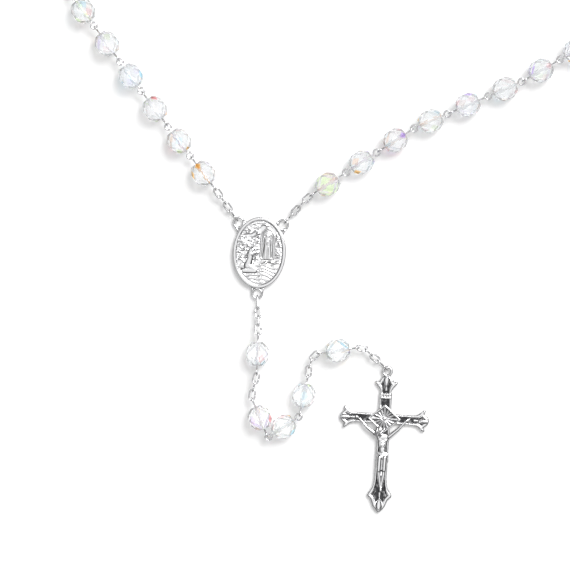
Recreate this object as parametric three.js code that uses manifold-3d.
// A rosary of fifty-nine faceted glass beads, laid out flat: a closed loop of five decades, an oval
// centre medal with a relic in its back, and a pendant chain that ends in a crucifix.
// Millimetres, +Z up. The origin is the middle of the medal's back, and z = 0 is the surface it lies on.

import * as THREE from 'three';
import { mergeVertices } from 'three/addons/utils/BufferGeometryUtils.js';
import Module from 'manifold-3d';

const wasm = await Module();
wasm.setup();

// ---- Driving dimensions ----

const ROUND_SIDES = 16; // of the medal's round pieces
const OVAL_STEPS = 24; // straight edges round the medal's oval

const WIRE_GAP = 0.2; // between the wires of two rings that hang in each other
const SEAT_GAP = 0.1; // round a piece that is held in a seat
const PIN_SLACK = 0.15; // between a pin and the wall of the hole it runs in

const BEAD_WIDTH = 8; // across the corners
const BEAD_LENGTH = 8; // along the hole
const BEAD_BAND = 3.4; // length of the row of upright facets
const BEAD_END = 4.2; // width of the flat end round the hole
const BEAD_FACETS = 8;

const PIN_WIRE = 0.6;
const PIN_NECK = 0.75; // straight wire between a bead and its eye
const EYE_WIDTH = 2.8;

const LINK_WIRE = 0.6;
const LINK_LENGTH = 4.3;
const LINK_WIDTH = 2.5;

const JUMP_WIRE = 0.6;
const JUMP_LENGTH = 5.5;
const JUMP_WIDTH = 2.4;

const MEDAL_WIDTH = 17.9;
const MEDAL_HEIGHT = 24.1;
const MEDAL_THICKNESS = 2.4;
const MEDAL_RIM = 1.4; // width of the raised rim on the front
const MEDAL_BACK_RIM = 0.9;
const FIELD_DEPTH = 0.5; // from the front rim down to the relief's ground
const BACK_DEPTH = 0.35; // from the back rim up to the back's ground
const MEDAL_TURN = -3; // degrees about +Z
const EAR_WIDTH = 4.1;
const EAR_WIRE = 0.9;
const EAR_SINK = 0.2; // how far an ear runs into the medal's edge
const EAR_DIRECTION = 52.5; // degrees above the medal's own +X

const RELIC_VIEW = 7.6; // width of the window that shows in the bezel
const BEZEL_WIDTH = 9.6;
const BEZEL_WALL = 0.35;
const WINDOW_STEP = 0.25; // how far the window's foot runs under the bezel's lip
const WINDOW_THICKNESS = 0.9;
const CLOTH_SIDE = 3.7;
const CLOTH_THICKNESS = 0.1;
const CARD_THICKNESS = 0.2;

const CROSS_THICKNESS = 1.6;
const CROSS_FIGURE = 0.9; // how far the figure stands out of the bars
const CROSS_TURN = -93.7; // heading of the cross's foot, in degrees
const CROSS_LOOP_WIDTH = 3.7;
const CROSS_LOOP_WIRE = 0.8;
const CROSS_LOOP_LIFT = 0.15; // from the surface up to the ring that stands in the crucifix's loop
const CROSS_TOP = 14.8; // from the middle of the crossing to the end of the top arm
const CROSS_FOOT = 31.9;
const CROSS_REACH = 15.2; // from the middle to the end of a side arm
const CROSS_BAR = 4.4; // width of the upright
const CROSS_ARM = 3.8; // width of the side arms
const CROSS_FLARE = 7.6; // width of the petals at each end
const CROSS_FLARE_LENGTH = 5.4;
const DIAMOND_WIDTH = 11.4;
const DIAMOND_HEIGHT = 9.8;
const DIAMOND_RISE = 0.5;

// Both sides of the loop hold the same strands, counted outward from the medal, with H for a bead of a
// decade, O for a large bead between decades and l for a chain link. Every second strand swings. Each
// swinging strand has a partner of the same length that points the other way on the far side of the
// loop, so the loop stays closed while the two turn together.
const STRANDS = ['HHH', 'HHH', 'HHH', 'HlllOlllH', 'HHH', 'H', 'HHH', 'HHlllOlll', 'HHH'];
const TOP_STRAND = 'HHHH';
const SWING_HEADINGS = [127, 114, 84, 30, 33]; // left side, outward; the right side has them reversed
const LEFT_HEADINGS = [126, 100, 57, 31]; // of the strands between; the second and the last close the loop
const RIGHT_HEADINGS = [23.5, 57, 99, 121];
const TOP_HEADING = -10.5;
const STRAND_BENDS = { left: [0, 20, 0, 0], right: [0, -40, 0, -6], top: 51 }; // degrees, clockwise

const LEFT_CHAIN = [125, 125, 125, 125]; // headings of the jump ring and links beside each ear
const RIGHT_CHAIN = [49, 48, 46, 44];

// The pendant, from the medal to the crucifix: J is a jump ring, l a link and a digit a bead on its pin.
const PENDANT = [
  ['J', -87], ['l', -88], ['l', -90], ['l', -90], ['1', -92],
  ['l', -104], ['l', -104], ['l', -98], ['2', -68],
  ['3', 34], ['4', 78],
  ['l', 86], ['l', 70], ['l', 46], ['5', 8],
  ['l', -10], ['l', -45], ['l', -38], ['J', -44],
];

// ---- Materials ----

const metal = (color, roughness) => new THREE.MeshStandardMaterial({ color, roughness, metalness: 1 });
const plain = (color, roughness) => new THREE.MeshStandardMaterial({ color, roughness, metalness: 0 });
const materials = {
  glass: plain(0xe8edf2, 0.05),
  wire: metal(0xc9cbce, 0.25),
  medal: metal(0xc4c6c8, 0.3),
  cross: metal(0x9a9b9c, 0.35),
  window: plain(0xf3f6f8, 0.08),
  card: plain(0xf4f2ec, 0.9),
  cloth: plain(0xa9c8e6, 0.95),
};

// ---- Solids ----

const rad = THREE.MathUtils.degToRad;

function solidOf(geometry) {
  const bare = geometry.index ? geometry.clone() : geometry;
  bare.deleteAttribute('normal');
  bare.deleteAttribute('uv');
  const merged = mergeVertices(bare, 1e-4);
  return new wasm.Manifold(new wasm.Mesh({
    numProp: 3,
    vertProperties: new Float32Array(merged.attributes.position.array),
    triVerts: new Uint32Array(merged.index.array),
  }));
}

function geometryOf(solid) {
  const mesh = solid.getMesh();
  const geometry = new THREE.BufferGeometry();
  geometry.setAttribute('position', new THREE.BufferAttribute(mesh.vertProperties, 3));
  geometry.setIndex(new THREE.BufferAttribute(mesh.triVerts, 1));
  geometry.computeVertexNormals();
  return geometry;
}

const joined = (geometries) => geometryOf(geometries.map(solidOf).reduce((sum, next) => sum.add(next)));

// A closed wire ring lying in XY: a round one where its length and width are equal, else a long oval.
function ringGeometry(length, width, wire, steps = 8, sides = 5) {
  const ring = new THREE.TorusGeometry((width - wire) / 2, wire / 2, sides, steps);
  ring.rotateZ(Math.PI / steps);
  const stretch = (length - width) / 2;
  const points = ring.attributes.position;
  for (let i = 0; i < points.count; i += 1) {
    points.setX(i, points.getX(i) + Math.sign(points.getX(i)) * stretch);
  }
  return ring;
}

const latheAlongX = (profile, segments) => {
  const lathe = new THREE.LatheGeometry(profile.map(([x, r]) => new THREE.Vector2(r, x)), segments);
  return lathe.rotateY(Math.PI / segments).rotateZ(-Math.PI / 2);
};

const rodAlongX = (length, radius, sides = 6) => (
  new THREE.CylinderGeometry(radius, radius, length, sides).rotateZ(Math.PI / 2));

// The outline from one end of a bead to the other, as pairs of a place along the hole and a radius.
const beadOutline = [
  [-BEAD_LENGTH / 2, BEAD_END / 2],
  [-BEAD_BAND / 2, BEAD_WIDTH / 2],
  [BEAD_BAND / 2, BEAD_WIDTH / 2],
  [BEAD_LENGTH / 2, BEAD_END / 2],
];

const holeRadius = PIN_WIRE / 2 + PIN_SLACK;

function drilledBead() {
  const ends = [[BEAD_LENGTH / 2, holeRadius], [-BEAD_LENGTH / 2, holeRadius]];
  return latheAlongX([...beadOutline, ...ends, beadOutline[0]], BEAD_FACETS);
}

const eyePlace = BEAD_LENGTH / 2 + PIN_NECK + EYE_WIDTH / 2;

// A pin's two eyes lie in one plane, at the ends of the wire that runs through the bead.
function pinPieces() {
  const eye = () => ringGeometry(EYE_WIDTH, EYE_WIDTH, PIN_WIRE);
  const rod = rodAlongX(2 * eyePlace - EYE_WIDTH + PIN_WIRE, PIN_WIRE / 2);
  return [eye().translate(-eyePlace, 0, 0), rod, eye().translate(eyePlace, 0, 0)];
}

const linkRing = () => ringGeometry(LINK_LENGTH, LINK_WIDTH, LINK_WIRE);
const jumpRing = () => ringGeometry(JUMP_LENGTH, JUMP_WIDTH, JUMP_WIRE);

// How far a piece reaches from its middle to the point where it hangs in the next one.
const reachOf = (half, wire) => half - wire - WIRE_GAP / 2;
const reach = {
  bead: reachOf(eyePlace + EYE_WIDTH / 2, PIN_WIRE),
  link: reachOf(LINK_LENGTH / 2, LINK_WIRE),
  jump: reachOf(JUMP_LENGTH / 2, JUMP_WIRE),
  ear: reachOf(EAR_WIDTH / 2, EAR_WIRE),
  crossLoop: reachOf(CROSS_LOOP_WIDTH / 2, CROSS_LOOP_WIRE),
};
const reachByMark = (mark) => ({ l: reach.link, J: reach.jump })[mark] ?? reach.bead;

// ---- Placing ----

const rosary = new THREE.Group();
const beadRest = (BEAD_WIDTH / 2) * Math.cos(Math.PI / BEAD_FACETS); // height of a bead's hole
const earRise = MEDAL_THICKNESS / 2;
const crossLoopRise = JUMP_WIDTH / 2 + CROSS_LOOP_LIFT;

const upward = new THREE.Vector3(0, 0, 1);
const direction = (heading, elevation = 0) => new THREE.Vector3(
  Math.cos(rad(elevation)) * Math.cos(rad(heading)),
  Math.cos(rad(elevation)) * Math.sin(rad(heading)),
  Math.sin(rad(elevation)));

function turn(object, heading, elevation, roll) {
  object.rotation.set(rad(roll), rad(-elevation), rad(heading), 'ZYX');
}

function addPiece(name, geometry, material, place = new THREE.Vector3(), heading = 0, elevation = 0, roll = 0) {
  const mesh = new THREE.Mesh(geometry, materials[material]);
  mesh.name = name;
  mesh.position.copy(place);
  turn(mesh, heading, elevation, roll);
  rosary.add(mesh);
  return mesh;
}

// A link or a jump ring in its place on a chain.
function addRing(name, at) {
  const ring = at.mark === 'J' ? jumpRing() : linkRing();
  addPiece(name, ring, 'wire', at.middle, at.heading, at.elevation, at.roll).userData.joint = at;
}

const slope = (rise, run) => THREE.MathUtils.radToDeg(Math.asin(rise / run));

// Half a wire and half the gap: from the point between two hooked rings to the middle of either's wire.
const hookOf = (wire) => (wire + WIRE_GAP) / 2;

// The slope of a chain from an ear up to a bead, which levels out at the upright wire of the bead's eye.
const climbToBead = (run) => slope(beadRest - earRise, run - hookOf(PIN_WIRE));
const wireByMark = (mark) => (mark === 'J' ? JUMP_WIRE : LINK_WIRE);

// Walks from point to point along a chain of rings that lie flat and stand on edge by turns. Where it
// bends, the next piece turns about the upright wire of the ring that stands on edge.
class Walker {
  constructor(start, heading, elevation, wire) {
    this.point = start.clone();
    this.along = direction(heading, elevation);
    this.wire = wire;
    this.onEdge = true;
  }

  copy() {
    return Object.assign(Object.create(Walker.prototype), this, { point: this.point.clone() });
  }

  step(mark, heading, elevation = 0) {
    const along = direction(heading, elevation);
    const hook = this.onEdge ? -hookOf(wireByMark(mark)) : hookOf(this.wire);
    const upright = this.point.clone().addScaledVector(this.along, hook);
    const start = upright.clone().addScaledVector(along, -hook);
    const half = reachByMark(mark);
    const middle = start.clone().addScaledVector(along, half);
    const piece = { mark, start, upright, middle, heading, elevation, roll: this.onEdge ? 90 : 0 };
    this.point = start.clone().addScaledVector(along, 2 * half);
    this.along = along;
    this.wire = wireByMark(mark);
    this.onEdge = !this.onEdge;
    return piece;
  }
}

// ---- Centre medal ----

function medalOutline(inset) {
  return new THREE.Shape().absellipse(
    0, 0, MEDAL_WIDTH / 2 - inset, MEDAL_HEIGHT / 2 - inset, 0, 2 * Math.PI);
}

function ovalPlate(inset, low, high) {
  const plate = new THREE.ExtrudeGeometry(
    medalOutline(inset), { depth: high - low, bevelEnabled: false, curveSegments: OVAL_STEPS });
  return plate.translate(0, 0, low);
}

const discPlate = (width, low, high) => (
  new THREE.CylinderGeometry(width / 2, width / 2, high - low, ROUND_SIDES)
    .rotateX(Math.PI / 2).translate(0, 0, (low + high) / 2));

// The medal's half size along a direction, measured from its middle.
const medalEdge = (angle) => 1 / Math.hypot(
  Math.cos(rad(angle)) / (MEDAL_WIDTH / 2), Math.sin(rad(angle)) / (MEDAL_HEIGHT / 2));

const earAngles = { left: 180 - EAR_DIRECTION, right: EAR_DIRECTION, pendant: -90 };

// Ear middles in the medal's own frame.
const earPlace = (name) => direction(earAngles[name])
  .multiplyScalar(medalEdge(earAngles[name]) + EAR_WIDTH / 2 - EAR_SINK)
  .setZ(earRise);

// The same point after the medal is turned.
const earOnRosary = (name) => earPlace(name).applyAxisAngle(upward, rad(MEDAL_TURN));

const bezelSkirt = RELIC_VIEW + 2 * (WINDOW_STEP + SEAT_GAP); // inside width
const bezelBody = bezelSkirt + 2 * BEZEL_WALL;
const relicStack = WINDOW_THICKNESS + CLOTH_THICKNESS + CARD_THICKNESS + 3 * SEAT_GAP;

function medalGeometry() {
  let medal = solidOf(ovalPlate(0, 0, MEDAL_THICKNESS));
  for (const name of Object.keys(earAngles)) {
    const ear = ringGeometry(EAR_WIDTH, EAR_WIDTH, EAR_WIRE, 10, 5);
    medal = medal.add(solidOf(ear.translate(...earPlace(name).toArray())));
  }
  const front = ovalPlate(MEDAL_RIM, MEDAL_THICKNESS - FIELD_DEPTH, MEDAL_THICKNESS + 1);
  const back = ovalPlate(MEDAL_BACK_RIM, -1, BACK_DEPTH);
  const pocket = discPlate(bezelBody + 2 * SEAT_GAP, -1, relicStack);
  return geometryOf(medal.subtract(solidOf(front)).subtract(solidOf(back)).subtract(solidOf(pocket)));
}

const latheUp = (profile) => (
  new THREE.LatheGeometry(profile.map(([r, z]) => new THREE.Vector2(r, z)), ROUND_SIDES).rotateX(Math.PI / 2));

// The bezel's lip lies on the medal's back, and its skirt goes into the pocket round the window.
function bezelGeometry() {
  const lip = BACK_DEPTH - SEAT_GAP;
  const hole = RELIC_VIEW / 2 + SEAT_GAP;
  const skirtTop = BACK_DEPTH + WINDOW_THICKNESS / 2;
  return latheUp([
    [hole, 0], [BEZEL_WIDTH / 2, 0], [BEZEL_WIDTH / 2, lip], [bezelBody / 2, lip],
    [bezelBody / 2, skirtTop], [bezelSkirt / 2, skirtTop], [bezelSkirt / 2, lip], [hole, lip], [hole, 0],
  ]);
}

function windowGeometry() {
  const foot = BACK_DEPTH;
  const outer = RELIC_VIEW / 2;
  return latheUp([
    [0, 0], [outer, 0], [outer, foot], [outer + WINDOW_STEP, foot],
    [outer + WINDOW_STEP, WINDOW_THICKNESS], [0, WINDOW_THICKNESS],
  ]);
}

function addMedal() {
  const middle = new THREE.Vector3();
  const clothLow = WINDOW_THICKNESS + SEAT_GAP;
  const cardLow = clothLow + CLOTH_THICKNESS + SEAT_GAP;
  const cloth = new THREE.BoxGeometry(CLOTH_SIDE, CLOTH_SIDE, CLOTH_THICKNESS)
    .translate(0, 0, clothLow + CLOTH_THICKNESS / 2);
  const card = discPlate(RELIC_VIEW + 2 * WINDOW_STEP, cardLow, cardLow + CARD_THICKNESS);
  addPiece('medal', medalGeometry(), 'medal', middle, MEDAL_TURN);
  addPiece('relic_bezel', bezelGeometry(), 'medal', middle, MEDAL_TURN);
  addPiece('relic_window', windowGeometry(), 'window', middle, MEDAL_TURN);
  addPiece('relic_cloth', cloth, 'cloth', middle, MEDAL_TURN);
  addPiece('relic_card', card, 'card', middle, MEDAL_TURN);
}

// ---- Chains beside the ears ----

function addEarChain(side, headings) {
  const start = earOnRosary(side).addScaledVector(direction(headings[0]), reach.ear);
  const run = 2 * (reach.jump + (headings.length - 1) * reach.link);
  const climb = climbToBead(run);
  const walker = new Walker(start, headings[0], climb, EAR_WIRE);
  headings.forEach((heading, i) => {
    const at = walker.step(i ? 'l' : 'J', heading, climb);
    const name = i ? `${side}_link_${i}` : `jump_ring_${side}`;
    addRing(name, at);
  });
  return walker;
}

// ---- Strands of the loop ----

// The steps of one strand: their headings turn evenly through the strand's own bend.
function walkStrand(walker, marks, heading, bend) {
  const pieces = [...marks];
  return pieces.map((mark, i) => {
    const share = pieces.length > 1 ? i / (pieces.length - 1) - 0.5 : 0;
    return walker.step(mark, heading - bend * share);
  });
}

// A strand's profile, unrolled straight from the point where it hangs in the piece before it, as places
// along it and radii. Its chain links are plain wire, as the pins between its beads are.
function strandOutline(steps) {
  const wire = PIN_WIRE / 2;
  const bare = (step) => (step.mark === 'l' ? LINK_LENGTH / 2 - LINK_WIDTH : eyePlace - EYE_WIDTH / 2) + wire;
  const outline = [];
  let end = 0;
  for (const step of steps) {
    const middle = end + reachByMark(step.mark);
    end = middle + reachByMark(step.mark);
    if (step.mark !== 'l') {
      outline.push([middle - BEAD_LENGTH / 2, wire]);
      outline.push(...beadOutline.map(([x, r]) => [middle + x, r]));
      outline.push([middle + BEAD_LENGTH / 2, wire]);
    }
  }
  const low = reachByMark(steps[0].mark) - bare(steps[0]);
  const high = end - reachByMark(steps.at(-1).mark) + bare(steps.at(-1));
  return [[low, 0], [low, wire], ...outline, [high, wire], [high, 0]];
}

// Moves a straight strand's points onto its bent path, each with the piece that it belongs to.
function bendOnto(geometry, steps, start) {
  const points = geometry.attributes.position;
  const point = new THREE.Vector3();
  let end = 0;
  const spans = steps.map((step) => {
    const half = reachByMark(step.mark);
    end += 2 * half;
    return { end, middle: end - half, step };
  });
  for (let i = 0; i < points.count; i += 1) {
    point.fromBufferAttribute(points, i);
    const { middle, step } = spans.find((span) => point.x < span.end) ?? spans.at(-1);
    point.x -= middle;
    point.applyAxisAngle(upward, rad(step.heading)).add(step.middle).sub(start);
    points.setXYZ(i, ...point.toArray());
  }
  return geometry;
}

// An eye at one end of a strand, flat or on edge. Where the strand ends in a link, it is that link's end.
function strandEye(step, side, roll, start) {
  const isLink = step.mark === 'l';
  const width = isLink ? LINK_WIDTH : EYE_WIDTH;
  const place = isLink ? LINK_LENGTH / 2 - LINK_WIDTH / 2 : eyePlace;
  return ringGeometry(width, width, PIN_WIRE, 8, 4).rotateX(rad(roll))
    .translate(side * place, 0, 0).rotateZ(rad(step.heading))
    .translate(...step.middle.clone().sub(start).toArray());
}

// One strand in a single solid, with an open eye at both ends.
function addStrand(name, steps, lastRoll = null) {
  const first = steps[0];
  const last = steps.at(-1);
  const body = bendOnto(latheAlongX(strandOutline(steps), BEAD_FACETS), steps, first.start);
  const strand = addPiece(name, joined([
    body,
    strandEye(first, -1, first.roll, first.start),
    strandEye(last, 1, lastRoll ?? last.roll, first.start),
  ]), 'glass', first.start);
  strand.userData.joint = first;
  return strand;
}

// The two headings in the loop that close it, found by Newton's method on the gap at its end.
function closedHeadings(gapAfter, first) {
  const guess = [...first];
  const small = 0.01;
  for (let round = 0; round < 20; round += 1) {
    const gap = gapAfter(guess);
    const byFirst = gapAfter([guess[0] + small, guess[1]]).sub(gap).divideScalar(small);
    const bySecond = gapAfter([guess[0], guess[1] + small]).sub(gap).divideScalar(small);
    const area = byFirst.x * bySecond.y - byFirst.y * bySecond.x;
    guess[0] -= (gap.x * bySecond.y - gap.y * bySecond.x) / area;
    guess[1] -= (byFirst.x * gap.y - byFirst.y * gap.x) / area;
  }
  return guess;
}

// A side's values for its strands, outward: swinging and still strands by turns.
const woven = (swinging, still) => swinging.flatMap((value, i) => (
  i < still.length ? [value, still[i]] : [value]));

function addLoop() {
  const chains = { left: addEarChain('left', LEFT_CHAIN), right: addEarChain('right', RIGHT_CHAIN) };
  const straight = SWING_HEADINGS.map(() => 0);
  const walkSide = (side, headings) => {
    const walker = chains[side].copy();
    const bends = woven(straight, STRAND_BENDS[side]);
    return { walker, strands: STRANDS.map((marks, i) => walkStrand(walker, marks, headings[i], bends[i])) };
  };
  const right = walkSide('right', woven([...SWING_HEADINGS].reverse(), RIGHT_HEADINGS));
  const rightHook = right.walker.point.clone().addScaledVector(right.walker.along, hookOf(PIN_WIRE));
  const walkLeft = ([second, last]) => {
    const left = walkSide('left', woven(SWING_HEADINGS, [LEFT_HEADINGS[0], second, LEFT_HEADINGS[2], last]));
    const top = walkStrand(left.walker, TOP_STRAND, TOP_HEADING, STRAND_BENDS.top);
    const hook = left.walker.point.clone().addScaledVector(left.walker.along, -hookOf(PIN_WIRE));
    return { strands: left.strands, top, gap: hook.sub(rightHook) };
  };
  const closing = closedHeadings((guess) => walkLeft(guess).gap, [LEFT_HEADINGS[1], LEFT_HEADINGS[3]]);
  const left = walkLeft(closing);
  left.strands.forEach((steps, i) => addStrand(`left_strand_${i + 1}`, steps));
  // An even number of pieces closes the loop, so this strand's last eye is turned to lie flat.
  addStrand('top_strand', left.top, 0);
  right.strands.forEach((steps, i) => addStrand(`right_strand_${i + 1}`, steps));
}

// ---- Pendant ----

// Heights change only along the chain between the medal or the crucifix and the nearest bead.
function pendantSlopes() {
  const marks = PENDANT.map(([mark]) => mark);
  const isBead = (mark) => mark !== 'l' && mark !== 'J';
  const run = (part) => part.reduce((sum, mark) => sum + 2 * reachByMark(mark), 0);
  const firstBead = marks.findIndex(isBead);
  const lastBead = marks.findLastIndex(isBead);
  const climb = climbToBead(run(marks.slice(0, firstBead)));
  const fall = slope(crossLoopRise - beadRest, run(marks.slice(lastBead + 1)));
  return marks.map((mark, i) => {
    if (i < firstBead) return climb;
    return i > lastBead ? fall : 0;
  });
}

function addPendant() {
  const slopes = pendantSlopes();
  const firstHeading = PENDANT[0][1];
  const start = earOnRosary('pendant').addScaledVector(direction(firstHeading), reach.ear);
  const walker = new Walker(start, firstHeading, slopes[0], EAR_WIRE);
  let links = 0;
  PENDANT.forEach(([mark, heading], i) => {
    const at = walker.step(mark, heading, slopes[i]);
    if (mark === 'J') {
      addRing(i ? 'jump_ring_crucifix' : 'jump_ring_pendant', at);
    } else if (mark === 'l') {
      links += 1;
      addRing(`pendant_link_${links}`, at);
    } else {
      const pin = addPiece(`pendant_pin_${mark}`, joined(pinPieces()), 'wire', at.middle, heading, 0, at.roll);
      pin.userData.joint = at;
      addPiece(`pendant_bead_${mark}`, drilledBead(), 'glass', at.middle, heading);
    }
  });
  return walker;
}

// ---- Crucifix, drawn with its foot along +X and its crossing at the middle ----

// Half of one arm's outline from the crossing to its tip, as [along, across] pairs.
const armSide = (length, bar) => [
  [0, bar / 2],
  [length - CROSS_FLARE_LENGTH, bar / 2],
  [length - 0.62 * CROSS_FLARE_LENGTH, bar / 2 - 0.5],
  [length - 0.4 * CROSS_FLARE_LENGTH, 0.36 * CROSS_FLARE],
  [length - 0.46 * CROSS_FLARE_LENGTH, CROSS_FLARE / 2],
  [length - 0.2 * CROSS_FLARE_LENGTH, 0.34 * CROSS_FLARE],
  [length - 0.08 * CROSS_FLARE_LENGTH, 0.16 * CROSS_FLARE],
];

function armPlate(length, bar, angle) {
  const side = armSide(length, bar);
  const other = side.map(([along, across]) => [along, -across]).reverse();
  const outline = [...side, [length, 0], ...other].map(([x, y]) => new THREE.Vector2(x, y)).reverse();
  return new THREE.ExtrudeGeometry(new THREE.Shape(outline), { depth: CROSS_THICKNESS, bevelEnabled: false })
    .rotateZ(rad(angle));
}

const diamondShape = () => new THREE.Shape([
  new THREE.Vector2(DIAMOND_HEIGHT / 2, 0), new THREE.Vector2(0, DIAMOND_WIDTH / 2),
  new THREE.Vector2(-DIAMOND_HEIGHT / 2, 0), new THREE.Vector2(0, -DIAMOND_WIDTH / 2),
]);

// The figure: head, chest, hips, legs and two arms that rise to the side bars.
function figurePieces() {
  const base = CROSS_THICKNESS - 0.2;
  const lump = (long, wide, tall, x, y, lean = 0) => new THREE.SphereGeometry(1, 8, 5)
    .scale(long, wide, tall).rotateZ(rad(lean)).translate(x, y, base + 0.3);
  const limb = (fromX, fromY, toX, toY, radius) => {
    const length = Math.hypot(toX - fromX, toY - fromY);
    return rodAlongX(length, radius, 6)
      .rotateZ(Math.atan2(toY - fromY, toX - fromX))
      .translate((fromX + toX) / 2, (fromY + toY) / 2, base + 0.2);
  };
  return [
    lump(1.5, 1.2, CROSS_FIGURE, 4.8, -1.2),
    lump(3.4, 1.8, CROSS_FIGURE, 8.6, 0),
    lump(2, 1.9, CROSS_FIGURE, 12.9, 0),
    limb(13.5, 0.5, 24.7, 0.2, 0.8),
    limb(13.5, -0.5, 24.7, -0.2, 0.8),
    limb(6.4, 1.1, 0.4, 8.5, 0.6),
    limb(6.4, -1.1, 0.4, -8.5, 0.6),
  ];
}

function crucifixGeometry() {
  const diamond = new THREE.ExtrudeGeometry(
    diamondShape(), { depth: CROSS_THICKNESS + DIAMOND_RISE, bevelEnabled: false });
  const loop = ringGeometry(CROSS_LOOP_WIDTH, CROSS_LOOP_WIDTH, CROSS_LOOP_WIRE, 10, 5)
    .translate(-crossLoopPlace, 0, crossLoopRise);
  return joined([
    armPlate(CROSS_FOOT, CROSS_BAR, 0),
    armPlate(CROSS_TOP, CROSS_BAR, 180),
    armPlate(CROSS_REACH, CROSS_ARM, 90),
    armPlate(CROSS_REACH, CROSS_ARM, -90),
    diamond,
    loop,
    ...figurePieces(),
  ]);
}

const crossLoopPlace = CROSS_TOP + CROSS_LOOP_WIDTH / 2 - 0.5; // from the crossing to the loop's middle

function addCrucifix(walker) {
  const along = direction(CROSS_TURN);
  const upright = walker.point.clone().addScaledVector(walker.along, hookOf(JUMP_WIRE));
  const start = upright.clone().addScaledVector(along, -hookOf(JUMP_WIRE));
  const crossing = start.clone().addScaledVector(along, reach.crossLoop + crossLoopPlace).setZ(0);
  const crucifix = addPiece('crucifix', crucifixGeometry(), 'cross', crossing, CROSS_TURN);
  crucifix.userData.joint = { start, upright, heading: CROSS_TURN };
}

addMedal();
addLoop();
addCrucifix(addPendant());

export default rosary;
